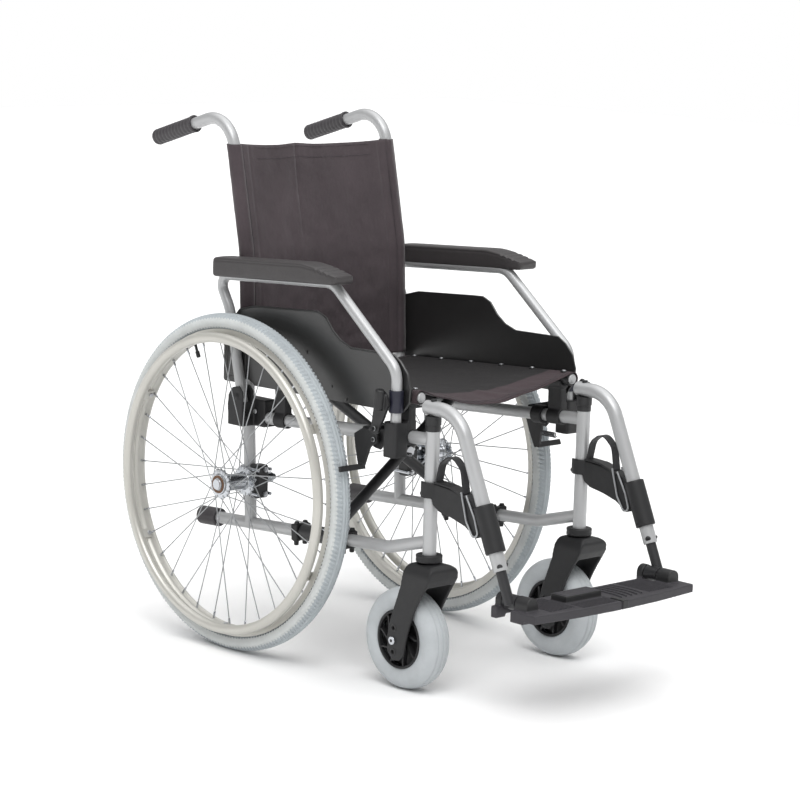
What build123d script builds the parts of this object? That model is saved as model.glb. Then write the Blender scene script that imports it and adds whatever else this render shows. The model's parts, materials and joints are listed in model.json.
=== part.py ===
from build123d import *
import os
from math import cos, radians, sin, sqrt, tan

# Folding wheelchair, in millimetres.  +Z is up, the chair faces -Y and its user's left is +X.
# Lengths along Y are counted from the rear axle while drawing; save() then moves every piece
# by FOOTPRINT_SHIFT, so that the origin is the centre of the chair's footprint on the floor.
# Everything that the chair has twice is drawn on the left (x > 0) and mirrored for the right.

# ---- driving dimensions -------------------------------------------------------------------
FOOTPRINT_SHIFT = 205.1
FRAME_X = 188.0          # half the distance between the two side frames
RAKE = 3.0               # degrees: seat, side tubes and arm pads rise this much to the front
SEAT_TUBE_Z = 487.4      # heights of the three long tubes above the rear axle
UPPER_TUBE_Z = 418.0
LOWER_TUBE_Z = 221.0
TUBE_R = 11.0
STEM_Y = -445.0          # caster stem, which is also the legrest's swing-away axis
STEM_R = 12.0
STEM_BOTTOM = 237.0
STEM_TOP = 467.0

WHEEL_R = 305.0          # 24 inch rear wheel
WHEEL_X = 252.0
TYRE_WIDTH = 36.0
HANDRIM_X = 281.0
HANDRIM_R = 263.0
HANDRIM_TUBE_R = 9.0
AXLE_R = 6.0
INNER_FLANGE_X = 222.0
OUTER_FLANGE_X = 278.0
SPOKE_COUNT = 36

CASTER_R = 89.0          # 7 inch caster
CASTER_Y = -398.0
CASTER_WIDTH = 53.0
FORK_HALF_WIDTH = 36.0
FORK_SLOT = 30.0         # half the gap between the fork's legs

CROSS_Y = -172.0         # centre pivot of the scissor brace
CROSS_R = 10.0
CROSS_GAP = 10.5         # each cross tube lies this far along the fold axis from the pivot
SLEEVE_HALF = 52.0
SLEEVE_R = 15.0

ARM_X = 214.5            # armrest tube
ARM_R = 9.5
ARM_PIVOT_Y = 20.4
ARM_PIVOT_Z = 456.0
ARM_LEG_Y = -381.0
PANEL_X = 202.5
PANEL_THICK = 2.5

LEG_R = 12.5             # legrest tube
LEG_TOP_Z = 495.0
HANGER_SLEEVE_R = 17.5
EXTENSION_R = 9.0
FLIP_X = 177.0           # footplate hinge
FLIP_Z = 195.0
PLATE_TOP = 187.0
PLATE_BOTTOM = 172.0

BRAKE_PIVOT_Y = -352.0
BRAKE_PIVOT_Z = 452.0
SHOE_PIVOT_Y = -330.0
SHOE_PIVOT_Z = 428.0
BRAKE_SWING = 40.0       # degrees from braked to released
SHOE_RATIO = -0.3

FIT = 0.08               # radial clearance of a pin in its bore
GAP = 0.4                # clearance between parts that pass close to each other

SLOPE = tan(radians(RAKE))
FOLD_AXIS = Vector(0, -cos(radians(RAKE)), sin(radians(RAKE)))


# ---- shape helpers ------------------------------------------------------------------------
def height(y, z_at_axle):
    """Height at y of a line that rises to the front by the frame's rake."""
    return z_at_axle - SLOPE * y


def rod(start, end, radius):
    """Round bar between two points."""
    run = Vector(*end) - Vector(*start)
    bar = Cylinder(radius, run.length, align=(Align.CENTER, Align.CENTER, Align.MIN))
    return Plane(origin=start, z_dir=run) * bar


def block(x_range, y_range, z_range):
    """Rectangular block given by its low and high limits."""
    sizes = [high - low for low, high in (x_range, y_range, z_range)]
    centre = [(high + low) / 2 for low, high in (x_range, y_range, z_range)]
    return Pos(*centre) * Box(*sizes)


def bent_tube(points, radius, bends):
    """Round tube along straight runs joined by arcs."""
    path = FilletPolyline(*points, radius=bends)
    return sweep(Plane(origin=path @ 0, z_dir=path % 0) * Circle(radius), path=path)


def in_side_plane(x, outline):
    """Points (y, z) of an outline, set into the vertical plane at x."""
    return [(x, y, z) for y, z in outline]


def side_plate(outline, x_range, corner=0.0):
    """Plate that lies in a vertical fore-and-aft plane; its outline is a list of (y, z)."""
    low, high = x_range
    face = make_face(Polyline(*outline, close=True))
    if corner:
        face = fillet(face.vertices(), corner)
    return Plane.YZ.offset(low) * extrude(face, amount=high - low)


def disc_x(x_range, y, z, radius):
    """Disc or pin whose axis runs along X."""
    return rod((x_range[0], y, z), (x_range[1], y, z), radius)


def along_tube(x, y, z_at_axle):
    """Plane on a raked tube: local z runs forward along it, local x is the chair's x."""
    return Plane(origin=(x, y, height(y, z_at_axle)), x_dir=(1, 0, 0), z_dir=FOLD_AXIS)


def wheel_ring(section):
    """Ring around the X axis from an outline of (x, radius) points."""
    return revolve(make_face(Polyline(*section, close=True)), Axis.X)


def moved_to(shape, y, z):
    return Pos(0, y, z) * shape


def turned(shape, degrees_about_x, y, z):
    """Shape turned about the X-parallel line through (y, z)."""
    return Pos(0, y, z) * (Rot(degrees_about_x, 0, 0) * (Pos(0, -y, -z) * shape))


def save(name, shape):
    export_step(Pos(0, FOOTPRINT_SHIFT, 0) * Compound(children=list(shape.solids())), f"parts/{name}.step")


def save_pair(name, left, right=None):
    """Write a left-hand piece and its mirrored twin."""
    save(f"left_{name}", left)
    save(f"right_{name}", mirror(left if right is None else right, about=Plane.YZ))


# ---- side frame ---------------------------------------------------------------------------
LOWER_REAR_Y = 112.0
LOWER_BEND_Y = -345.0
POST_FOOT = (20.0, LOWER_TUBE_Z)
POST_LEAN = (46.0, 712.0)
POST_CORNER = (99.4, 963.0)
GRIP_END = (302.0, 902.6)
GRIP_START = (196.0, 934.2)
GRIP_R = 15.2


def lower_tube():
    points = [
        (FRAME_X, LOWER_REAR_Y, height(LOWER_REAR_Y, LOWER_TUBE_Z)),
        (FRAME_X, LOWER_BEND_Y, height(LOWER_BEND_Y, LOWER_TUBE_Z)),
        (FRAME_X, STEM_Y, height(LOWER_BEND_Y, LOWER_TUBE_Z) + 27.0),
    ]
    return bent_tube(points, TUBE_R, 80)


def post_tube():
    """Upright and push handle in one tube: three degrees of lean, then back, then level."""
    points = in_side_plane(FRAME_X, [POST_FOOT, POST_LEAN, POST_CORNER, GRIP_END])
    return bent_tube(points, TUBE_R, [150, 60])


def back_post():
    return post_tube() - lower_tube()


def side_frame():
    stem = rod((FRAME_X, STEM_Y, STEM_BOTTOM), (FRAME_X, STEM_Y, STEM_TOP), STEM_R)
    upper = rod(
        (FRAME_X, POST_FOOT[0], height(POST_FOOT[0], UPPER_TUBE_Z)),
        (FRAME_X, STEM_Y, height(STEM_Y, UPPER_TUBE_Z)),
        TUBE_R,
    )
    frame = stem + lower_tube() + (upper - post_tube())
    frame -= rod((FRAME_X, STEM_Y, STEM_BOTTOM), (FRAME_X, STEM_Y, FORK_PIN_TOP + 2), FORK_PIN_R + FIT)
    frame -= rod((FRAME_X, STEM_Y, BUSH_PIN_BOTTOM - 2), (FRAME_X, STEM_Y, STEM_TOP), BUSH_PIN_R + FIT)
    return frame


def push_grip():
    """Closed rubber grip with raised rings."""
    start = (FRAME_X, *GRIP_START)
    run = Vector(0, GRIP_END[0] - GRIP_START[0], GRIP_END[1] - GRIP_START[1])
    axis = Plane(origin=start, z_dir=run)
    length = run.length + 4.0
    low_end = (Align.CENTER, Align.CENTER, Align.MIN)
    grip = axis * Cylinder(GRIP_R - 1.2, length, align=low_end)
    grip += axis * Cylinder(GRIP_R + 1.0, 6.0, align=low_end)
    ring_count = 11
    for ring in range(ring_count):
        ring_at = 12.0 + ring * (length - 20.0) / (ring_count - 1)
        grip += axis.offset(ring_at) * Cylinder(GRIP_R, 5.0, align=low_end)
    return grip - post_tube()


# ---- clamps on the frame ------------------------------------------------------------------
SOCKET_Y = ARM_LEG_Y
SOCKET_BORE_R = ARM_R + 3.0
CRADLE_R = TUBE_R + GAP


def seat_cradle(y_front, y_rear):
    """Open-topped saddle that stands on the upper side tube and holds the seat tube."""
    length = y_rear - y_front
    middle = (y_rear + y_front) / 2
    base = along_tube(FRAME_X, middle, UPPER_TUBE_Z)
    seat = along_tube(FRAME_X, middle, SEAT_TUBE_Z)
    rise = SEAT_TUBE_Z - UPPER_TUBE_Z
    ring = base * Cylinder(TUBE_R + 4.0, length)
    web = base * (Pos(0, rise / 2, 0) * Box(16.0, rise, length))
    saddle = seat * (Pos(0, -4.0, 0) * Cylinder(TUBE_R + 3.5, length))
    saddle -= seat * (Pos(0, 20.0 - 2.0, 0) * Box(60, 40, 2 * length))
    cradle = ring + web + saddle
    cradle -= base * Cylinder(TUBE_R, 2 * length)
    cradle -= seat * Cylinder(CRADLE_R, 2 * length)
    cradle -= seat * (Pos(0, 30.0, 0) * Box(2 * CRADLE_R, 60, 2 * length))
    return cradle


def frame_clamps():
    """Black clamps: rear joint, armrest sockets, seat cradles, brace stops and stem rings."""
    rear_joint = block((172, 200), (-26, 36), (403, 452))
    cheek_outline = [(4, 403), (44, 403), (46, 440), (44, 458), (34, 472), (14, 476), (4, 466)]
    inner_cheek = side_plate(cheek_outline, (200, ARM_X - ARM_R - GAP))
    outer_cheek = side_plate(cheek_outline, (ARM_X + ARM_R + GAP, ARM_X + ARM_R + 3))
    floor_web = block((200, ARM_X + ARM_R + 3), (4, 44), (403, 424))
    arm_pin = disc_x((196, ARM_X + ARM_R + 5), ARM_PIVOT_Y, ARM_PIVOT_Z, 4.0)
    clamps = rear_joint + inner_cheek + outer_cheek + floor_web + arm_pin

    socket = block((198, 230), (SOCKET_Y - 16, SOCKET_Y + 16), (405, 466))
    socket = fillet(socket.edges().filter_by(Axis.Z), 6.0)
    socket -= rod((ARM_X, SOCKET_Y, 440), (ARM_X, SOCKET_Y, 490), SOCKET_BORE_R)
    front_cradle = seat_cradle(SOCKET_Y - 16, SOCKET_Y + 16)
    rear_cradle = seat_cradle(-78, -50)
    socket += front_cradle
    clamps += socket + rear_cradle

    for y in (CROSS_Y - SLEEVE_HALF - 17, CROSS_Y - 7 + SLEEVE_HALF + 10):
        stop = along_tube(FRAME_X, y, LOWER_TUBE_Z)
        clamps += stop * Box(34, 30, 16)
        for x in (FRAME_X - 10, FRAME_X + 10):
            at_top = height(y, LOWER_TUBE_Z)
            clamps += rod((x, y, at_top - 24), (x, y, at_top + 20), 4.5)
    for low in (STEM_BOTTOM - 6, STEM_BOTTOM + 2):
        clamps += rod((FRAME_X, STEM_Y, low), (FRAME_X, STEM_Y, low + 5), 23.0)
    clamps += rod((FRAME_X, STEM_Y, STEM_BOTTOM - 4), (FRAME_X, STEM_Y, STEM_BOTTOM + 4), 20.0)

    tube_start = (FRAME_X, 80, height(80, UPPER_TUBE_Z))
    tube_end = (FRAME_X, -500, height(-500, UPPER_TUBE_Z))
    clamps -= rod(tube_start, tube_end, TUBE_R)
    clamps -= post_tube()
    clamps -= lower_tube()
    clamps -= rod((FRAME_X, STEM_Y, 200), (FRAME_X, STEM_Y, STEM_BOTTOM), FORK_PIN_R + 2)
    clamps -= rod((FRAME_X, STEM_Y, STEM_BOTTOM), (FRAME_X, STEM_Y, STEM_TOP), STEM_R)
    return clamps


def tip_lever():
    """Rubber-covered end of the lower tube, stepped on to tip the chair."""
    end = height(LOWER_REAR_Y, LOWER_TUBE_Z)
    rubber_start = (FRAME_X, 106, height(106, LOWER_TUBE_Z))
    rubber = rod(rubber_start, (FRAME_X, 156, height(156, LOWER_TUBE_Z)), 17.0)
    return rubber - rod((FRAME_X, 100, height(100, LOWER_TUBE_Z)), (FRAME_X, LOWER_REAR_Y, end), TUBE_R)


# ---- rear axle ----------------------------------------------------------------------------
AXLE_BLOCK = ((176, 200), (-12, 14), (270, 331))
CLAMP_HEIGHTS = (278.0, 323.0)


def axle_adapter():
    plate = block(*AXLE_BLOCK)
    plate = fillet(plate.edges().filter_by(Axis.X), 5.0)
    plate -= post_tube()
    return plate - disc_x((150, 220), 0, WHEEL_R, AXLE_R)


def wheel_axle():
    """Axle with its nut, the outer button, and two U-bolts round the upright."""
    axle = disc_x((152, 286), 0, WHEEL_R, AXLE_R)
    axle += disc_x((160, 176), 0, WHEEL_R, 10.0)
    axle += disc_x((200, 214), 0, WHEEL_R, 9.0)
    axle += disc_x((285.5, 289), 0, WHEEL_R, 9.0)
    for z in CLAMP_HEIGHTS:
        lean = (POST_LEAN[0] - POST_FOOT[0]) / (POST_LEAN[1] - POST_FOOT[1])
        post_y = POST_FOOT[0] + (z - POST_FOOT[1]) * lean
        reach = TUBE_R + 3.5
        rear = post_y + reach
        points = [
            (FRAME_X - reach, -16.0, z),
            (FRAME_X - reach, rear, z),
            (FRAME_X + reach, rear, z),
            (FRAME_X + reach, -16.0, z),
        ]
        axle += bent_tube(points, 3.0, reach - 1.0) - block(*AXLE_BLOCK)
    return axle


# ---- rear wheel ---------------------------------------------------------------------------
RIM_INNER_R = 262.0
RIM_OUTER_R = 277.0
RIM_HALF = 13.0


def rear_tyre():
    half = TYRE_WIDTH / 2
    section = [
        (WHEEL_X - RIM_HALF, RIM_OUTER_R),
        (WHEEL_X - half, RIM_OUTER_R + 8),
        (WHEEL_X - half, RIM_OUTER_R + 16),
        (WHEEL_X - half + 7, WHEEL_R - 3),
        (WHEEL_X - 6, WHEEL_R),
        (WHEEL_X + 6, WHEEL_R),
        (WHEEL_X + half - 7, WHEEL_R - 3),
        (WHEEL_X + half, RIM_OUTER_R + 16),
        (WHEEL_X + half, RIM_OUTER_R + 8),
        (WHEEL_X + RIM_HALF, RIM_OUTER_R),
    ]
    return moved_to(wheel_ring(section), 0, WHEEL_R)


def rear_rim():
    section = [
        (WHEEL_X - 8, RIM_INNER_R),
        (WHEEL_X - RIM_HALF, RIM_INNER_R + 5),
        (WHEEL_X - RIM_HALF, RIM_OUTER_R),
        (WHEEL_X + RIM_HALF, RIM_OUTER_R),
        (WHEEL_X + RIM_HALF, RIM_INNER_R + 5),
        (WHEEL_X + 8, RIM_INNER_R),
    ]
    return moved_to(wheel_ring(section), 0, WHEEL_R)


def rear_hub():
    """Hub shell with two spoke flanges and a bore that runs on the axle."""
    section = [
        (216, AXLE_R + FIT),
        (216, 15),
        (INNER_FLANGE_X - 2, 17),
        (INNER_FLANGE_X - 2, 26),
        (INNER_FLANGE_X + 2, 26),
        (INNER_FLANGE_X + 4, 15),
        (OUTER_FLANGE_X - 4, 15),
        (OUTER_FLANGE_X - 2, 26),
        (OUTER_FLANGE_X + 2, 26),
        (OUTER_FLANGE_X + 2, 16),
        (284.5, 15),
        (284.5, AXLE_R + FIT),
    ]
    return moved_to(wheel_ring(section), 0, WHEEL_R)


def spoke_group():
    """Crossed wire spokes, alternately to the inner and the outer flange."""
    flange_r = 27.0
    cross = 46.0
    spokes = []
    for index in range(SPOKE_COUNT):
        rim_angle = 360.0 / SPOKE_COUNT * index
        flange_x = INNER_FLANGE_X if index % 2 else OUTER_FLANGE_X
        lean = cross if index % 4 < 2 else -cross
        lane = 1.6 if index % 4 < 2 else -1.6
        rim_point = Vector(WHEEL_X + lane, RIM_INNER_R - 0.5, 0)
        hub_point = Vector(flange_x + lane * 0.8, flange_r, 0).rotate(Axis.X, lean)
        spoke = rod(tuple(hub_point), tuple(rim_point), 1.0)
        spokes.append(Rot(rim_angle, 0, 0) * spoke)
    return moved_to(Compound(children=spokes), 0, WHEEL_R)


def handrim():
    """Push rim on six small brackets that reach under the wheel rim."""
    section = Pos(HANDRIM_X, HANDRIM_R) * Circle(HANDRIM_TUBE_R)
    ring = revolve(section, Axis.X)
    for tab in range(6):
        bracket = block((WHEEL_X + 3, HANDRIM_X - 4), (-9, 9), (RIM_INNER_R - 4.5, RIM_INNER_R - 1))
        ring += Rot(60.0 * tab, 0, 0) * bracket
    return moved_to(ring, 0, WHEEL_R)


# ---- caster -------------------------------------------------------------------------------
FORK_PIN_R = 6.0
FORK_PIN_TOP = 300.0
CASTER_HUB_R = 50.0


def caster_fork():
    """Fork with two raked legs, its vertical pin and the wheel's cross bolt."""
    leg = [
        (-420, 227), (-432, 230), (-472, 230), (-483, 221), (-481, 205), (-470, 186), (-461, 172),
        (-448, 148), (-437, 119), (-429, 90), (-425, 66), (-413, 55), (-398, 54), (-385, 68),
        (-384, 97), (-391, 129), (-401, 155), (-413, 188),
    ]
    half = FORK_HALF_WIDTH
    fork = side_plate(leg, (FRAME_X - half, FRAME_X + half), 4.0)
    crown_gap = block((FRAME_X - FORK_SLOT, FRAME_X + FORK_SLOT), (-600, -300), (0, 192))
    fork -= crown_gap
    fork -= disc_x((FRAME_X - FORK_SLOT, FRAME_X + FORK_SLOT), CASTER_Y, CASTER_R, CASTER_R + 10)
    arch = Pos(FRAME_X, 130) * RectangleRounded(2 * half, 198, 22)
    fork &= Plane.XZ.offset(300) * extrude(arch, amount=300)
    fork += rod((FRAME_X, STEM_Y, 220), (FRAME_X, STEM_Y, FORK_PIN_TOP), FORK_PIN_R)
    for hole_z in (69.0, 111.0):
        fork -= disc_x((FRAME_X - 60, FRAME_X + 60), CASTER_Y - 1.5, hole_z, 3.5)
    fork += disc_x((FRAME_X - half - 3, FRAME_X + half + 3), CASTER_Y, CASTER_R, 5.0)
    return fork


def caster_tyre():
    """Grooved solid tyre."""
    half = CASTER_WIDTH / 2
    section = [(-20, CASTER_HUB_R), (-half, 58), (-half, 76), (-22, 84), (-16, 87.4)]
    section += [(-11.5, 88.2), (-10, 85.5), (-8.5, 88.6), (-2, 89), (0, 86)]
    section += [(-x, r) for x, r in reversed(section[:-1])]
    ring = wheel_ring([(FRAME_X + x, r) for x, r in section])
    return moved_to(ring, CASTER_Y, CASTER_R)


def caster_hub():
    section = [
        (-28.5, 5 + FIT), (-28.5, 12), (-23, 14), (-21, 44), (-20, CASTER_HUB_R),
        (20, CASTER_HUB_R), (21, 44), (23, 14), (28.5, 12), (28.5, 5 + FIT),
    ]
    ring = wheel_ring([(FRAME_X + x, r) for x, r in section])
    return moved_to(ring, CASTER_Y, CASTER_R)


# ---- scissor brace ------------------------------------------------------------------------
BRACE_RISE = (SEAT_TUBE_Z - LOWER_TUBE_Z) / 2 * cos(radians(RAKE))
BRACE_HALF = sqrt(FRAME_X**2 + BRACE_RISE**2)
BRACE_PLANE = along_tube(0, CROSS_Y, (SEAT_TUBE_Z + LOWER_TUBE_Z) / 2)
CROSS_BOLT_R = 5.0
SEAT_TUBE_FRONT = -412.0
SEAT_TUBE_REAR = 6.0


def seat_tube(x):
    return rod(
        (x, SEAT_TUBE_REAR, height(SEAT_TUBE_REAR, SEAT_TUBE_Z)),
        (x, SEAT_TUBE_FRONT, height(SEAT_TUBE_FRONT, SEAT_TUBE_Z)),
        TUBE_R,
    )


def cross_frame(side, offset):
    """Brace tube from the lower sleeve on one side to the seat tube on the other."""
    low_end = (-side * FRAME_X, -BRACE_RISE, offset)
    high_end = (side * FRAME_X, BRACE_RISE, offset)
    frame = BRACE_PLANE * rod(low_end, high_end, CROSS_R)
    sleeve = Cylinder(SLEEVE_R, 2 * SLEEVE_HALF)
    frame += BRACE_PLANE * (Pos(-side * FRAME_X, -BRACE_RISE, 0) * sleeve)
    frame += seat_tube(side * FRAME_X)
    frame -= BRACE_PLANE * (Pos(-side * FRAME_X, -BRACE_RISE, 0) * Cylinder(TUBE_R + GAP, 4 * SLEEVE_HALF))
    return frame


def cross_bolt():
    length = 2 * (CROSS_GAP + CROSS_R)
    bolt = Cylinder(CROSS_BOLT_R, length + 6)
    for end in (-1, 1):
        head = Pos(0, 0, end * (length / 2 + 3 + GAP)) * Cylinder(9, 6)
        bolt += head
    return BRACE_PLANE * bolt


# ---- armrest ------------------------------------------------------------------------------
ARM_PATH = [
    (ARM_PIVOT_Y - 2.6, 445.0),
    (58.0, 610.0),
    (94.0, 669.5),
    (-215.0, 685.7),
    (ARM_LEG_Y, 553.0),
    (ARM_LEG_Y, 446.0),
]
ARM_BENDS = [80, 20, 50, 40]


def armrest_bar():
    return bent_tube(in_side_plane(ARM_X, ARM_PATH), ARM_R, ARM_BENDS)


def armrest_tube():
    """Armrest loop with its pivot hole and the dark sleeve on the front leg."""
    sleeve = rod((ARM_X, ARM_LEG_Y, 482), (ARM_X, ARM_LEG_Y, 519), ARM_R + 2.5)
    bar = armrest_bar() + sleeve
    return bar - disc_x((190, 240), ARM_PIVOT_Y, ARM_PIVOT_Z, 4.0 + FIT)


def armrest_pad():
    """Long pad that sits over the top run of the armrest loop."""
    outline = SlotCenterToCenter(300, 49, rotation=90)
    body = Plane.XY * extrude(outline, amount=36)
    body = fillet(body.edges().group_by(Axis.Z)[-1], 10)
    body = fillet(body.edges().group_by(Axis.Z)[0], 4)
    centre_y = -91.0
    tilted = Pos(228.5, centre_y, height(centre_y, 673.5)) * (Rot(-RAKE, 0, 0) * body)
    return tilted - armrest_bar()


def side_panel():
    """Clothes guard between the seat and the armrest loop."""
    outline = [
        (84, 541), (84, 476), (-388, 480), (-405, 500), (-407, 525), (-398, 549), (-380, 568),
        (-362, 578), (-255, 577), (-228, 586), (-207, 601), (-188, 622), (-168, 630), (-142, 629),
        (3, 621), (42, 611), (62, 590), (78, 560),
    ]
    panel = side_plate(outline, (PANEL_X, PANEL_X + PANEL_THICK), 6.0)
    panel -= disc_x((190, 240), ARM_PIVOT_Y, ARM_PIVOT_Z, 30.0)
    panel -= rod((ARM_X, ARM_LEG_Y, 470), (ARM_X, ARM_LEG_Y, 519), ARM_R + 2.5)
    return panel - armrest_bar()


# ---- legrest ------------------------------------------------------------------------------
BUSH_PIN_R = 7.0
BUSH_PIN_BOTTOM = 425.0
SWING_PIN_R = 5.0
LEG_KNEE = (-505.0, LEG_TOP_Z)
LEG_END = (-614.9, 244.5)
LEG_RUN = Vector(0, LEG_END[0] - LEG_KNEE[0], LEG_END[1] - LEG_KNEE[1]).normalized()
EXTENSION_LENGTH = 170.0
LUG_Y = (-649.0, -621.0)


def leg_line(z):
    """Point on the legrest's slanted centre line at height z."""
    y = LEG_KNEE[0] + (z - LEG_KNEE[1]) * LEG_RUN.Y / LEG_RUN.Z
    return (FRAME_X, y, z)


def legrest_bush():
    """Swivel bush in the top of the stem, with the pin that carries the legrest."""
    bush = rod((FRAME_X, STEM_Y, BUSH_PIN_BOTTOM), (FRAME_X, STEM_Y, STEM_TOP + 1), BUSH_PIN_R)
    bush += rod((FRAME_X, STEM_Y, STEM_TOP + GAP), (FRAME_X, STEM_Y, LEG_TOP_Z - LEG_R - GAP), 14.0)
    bush += rod((FRAME_X, STEM_Y, STEM_TOP + 2), (FRAME_X, STEM_Y, LEG_TOP_Z + LEG_R + 3.5), SWING_PIN_R)
    return bush


def legrest_bar():
    points = [(FRAME_X, STEM_Y + 16, LEG_TOP_Z), (FRAME_X, *LEG_KNEE), (FRAME_X, *LEG_END)]
    return bent_tube(points, LEG_R, 65)


def legrest_tube():
    bar = legrest_bar()
    bar -= rod((FRAME_X, STEM_Y, 470), (FRAME_X, STEM_Y, 520), SWING_PIN_R + FIT)
    return bar - rod(leg_line(LEG_END[1] - 20), leg_line(LEG_END[1] + 150), EXTENSION_R + FIT)


def legrest_bracket():
    """Hanger: clip round the stem, arm, and the sleeve on the legrest tube."""
    clip = rod((FRAME_X, STEM_Y, 343), (FRAME_X, STEM_Y, 370), STEM_R + 6)
    clip -= block((FRAME_X - 9, FRAME_X + 9), (STEM_Y + 2, STEM_Y + 30), (340, 375))
    arm_outline = [
        (-455, 343), (-455, 370), (-500, 366), (-545, 357), (-575, 345), (-588, 300),
        (-562, 292), (-537, 308), (-506, 317), (-474, 323), (-459, 332),
    ]
    arm = side_plate(arm_outline, (FRAME_X - 10, FRAME_X + 10))
    bracket = clip + arm + rod(leg_line(348), leg_line(273), HANGER_SLEEVE_R)
    bracket -= rod((FRAME_X, STEM_Y, 300), (FRAME_X, STEM_Y, 400), STEM_R + GAP)
    return bracket - rod(leg_line(420), leg_line(240), LEG_R)


def legrest_strap():
    """Webbing loop above the hanger, which pulls its catch open."""
    outer = [(-462, 371), (-471, 398), (-495, 417), (-516, 414), (-526, 388), (-531, 361.5)]
    inner = [(-466, 371), (-474, 396), (-496, 413.5), (-513, 411), (-522.5, 387), (-527, 362)]
    return side_plate(outer + inner[::-1], (FRAME_X - 9, FRAME_X + 9))


def leg_extension():
    """Height-adjustable tube with the lug of the footplate hinge."""
    foot = leg_line(FLIP_Z - 3)
    top = Vector(*foot) - LEG_RUN * EXTENSION_LENGTH
    bar = rod(foot, tuple(top), EXTENSION_R)
    bar += rod((FLIP_X, LUG_Y[0], FLIP_Z), (FLIP_X, LUG_Y[1], FLIP_Z), 13.0)
    bar -= rod((FLIP_X, LUG_Y[0] - 5, FLIP_Z), (FLIP_X, LUG_Y[1] + 5, FLIP_Z), 4.0 + FIT)
    return bar


# ---- footplate ----------------------------------------------------------------------------
def footplate(with_heel_block):
    """Flat plate with two hinge cheeks on its outer end and the hinge pin."""
    rear, front = -616.0, -706.0
    outline = [(1, rear), (158, rear), (164, -606), (200, -606)]
    outline += [(200, front), (100, front - 10), (1, front - 14)]
    face = make_face(Polyline(*outline, close=True))
    plate = Pos(0, 0, PLATE_BOTTOM) * extrude(face, amount=PLATE_TOP - PLATE_BOTTOM)
    slot_y = (LUG_Y[0] - 1.5, LUG_Y[1] + 1.5)
    for y_range in ((slot_y[1], -606.0), (-680.0, slot_y[0])):
        plate += rod((FLIP_X, y_range[0], FLIP_Z), (FLIP_X, y_range[1], FLIP_Z), 14.0)
        plate += block((FLIP_X - 14, FLIP_X + 14), y_range, (PLATE_BOTTOM, FLIP_Z))
        plate += block((FLIP_X, 200), y_range, (PLATE_BOTTOM - 5, PLATE_TOP))
    plate -= block((FLIP_X - 15, 210), slot_y, (150, 230))
    plate += rod((FLIP_X, -678, FLIP_Z), (FLIP_X, -608, FLIP_Z), 4.0)
    if with_heel_block:
        plate += block((4, 92), (-676, -640), (PLATE_TOP - 1, PLATE_TOP + 12))
    return plate


# ---- wheel brake --------------------------------------------------------------------------
def brake_mount():
    """Clamp on the upper side tube with the plate that carries both pivots."""
    clamp = along_tube(FRAME_X, -340, UPPER_TUBE_Z) * Cylinder(TUBE_R + 6, 24)
    plate_outline = [(-292, 445), (-359, 462), (-359, 436), (-338, 410), (-322, 412), (-290, 432)]
    plate = side_plate(plate_outline, (204, 208), 3.0)
    foot = along_tube(200, -340, UPPER_TUBE_Z) * Box(12, 16, 24)
    mount = clamp + foot + plate
    mount += disc_x((206, 247), BRAKE_PIVOT_Y, BRAKE_PIVOT_Z, 4.0)
    mount += disc_x((206, 220), SHOE_PIVOT_Y, SHOE_PIVOT_Z, 4.0)
    tube_front = (FRAME_X, -440, height(-440, UPPER_TUBE_Z))
    return mount - rod((FRAME_X, 0, height(0, UPPER_TUBE_Z)), tube_front, TUBE_R)


def brake_lever():
    """Hand lever, drawn braked, with its rubber knob."""
    blade = [
        (-343, 452), (-361, 452), (-372, 470), (-384, 498),
        (-379, 512), (-366, 522), (-352, 521), (-350, 500),
    ]
    arm = disc_x((231, 237), BRAKE_PIVOT_Y, BRAKE_PIVOT_Z, 10)
    arm += side_plate(blade, (231, 237), 3.0)
    knob = rod((240, -365, 486), (240, -368, 521), 8.5)
    knob = fillet(knob.edges(), 3.5)
    return arm + knob - disc_x((220, 260), BRAKE_PIVOT_Y, BRAKE_PIVOT_Z, 4.0 + FIT)


def brake_shoe():
    """Swinging arm with the bar that presses on the tyre, drawn braked."""
    shoe_y, shoe_z = -302.5, 377.0
    outline = [
        (-280, 432), (-299, 443), (-322, 445), (-340, 437), (-334, 424), (-319, 412), (-315, 402),
        (-304, 374), (-293, 373), (-284, 408),
    ]
    arm = disc_x((211, 217), SHOE_PIVOT_Y, SHOE_PIVOT_Z, 9)
    arm += side_plate(outline, (211, 217), 2.0)
    bar = block((211, 270), (shoe_y - 3, shoe_y + 2), (shoe_z - 5, shoe_z + 5))
    shoe = arm + turned(bar, -12, shoe_y, shoe_z)
    return shoe - disc_x((200, 230), SHOE_PIVOT_Y, SHOE_PIVOT_Z, 4.0 + FIT)


# ---- upholstery ---------------------------------------------------------------------------
def seat_upholstery():
    """Sling seat: flat over the two seat tubes, sagging between them."""
    top = TUBE_R + 2.6
    bottom = TUBE_R + 0.3
    edge, inner, sag = FRAME_X + 12.0, FRAME_X - 13.0, 22.0
    upper_curve = ThreePointArc((-inner, top), (0, top - sag), (inner, top))
    lower_curve = ThreePointArc((-inner, bottom), (0, bottom - sag), (inner, bottom))
    outline = upper_curve + Line((inner, top), (edge, top)) + Line((edge, top), (edge, bottom))
    outline += Line((edge, bottom), (inner, bottom)) + lower_curve
    outline += Line((-inner, bottom), (-edge, bottom)) + Line((-edge, bottom), (-edge, top))
    outline += Line((-edge, top), (-inner, top))
    rear = along_tube(0, SEAT_TUBE_REAR, SEAT_TUBE_Z)
    return rear * extrude(make_face(outline), amount=430)


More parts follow.
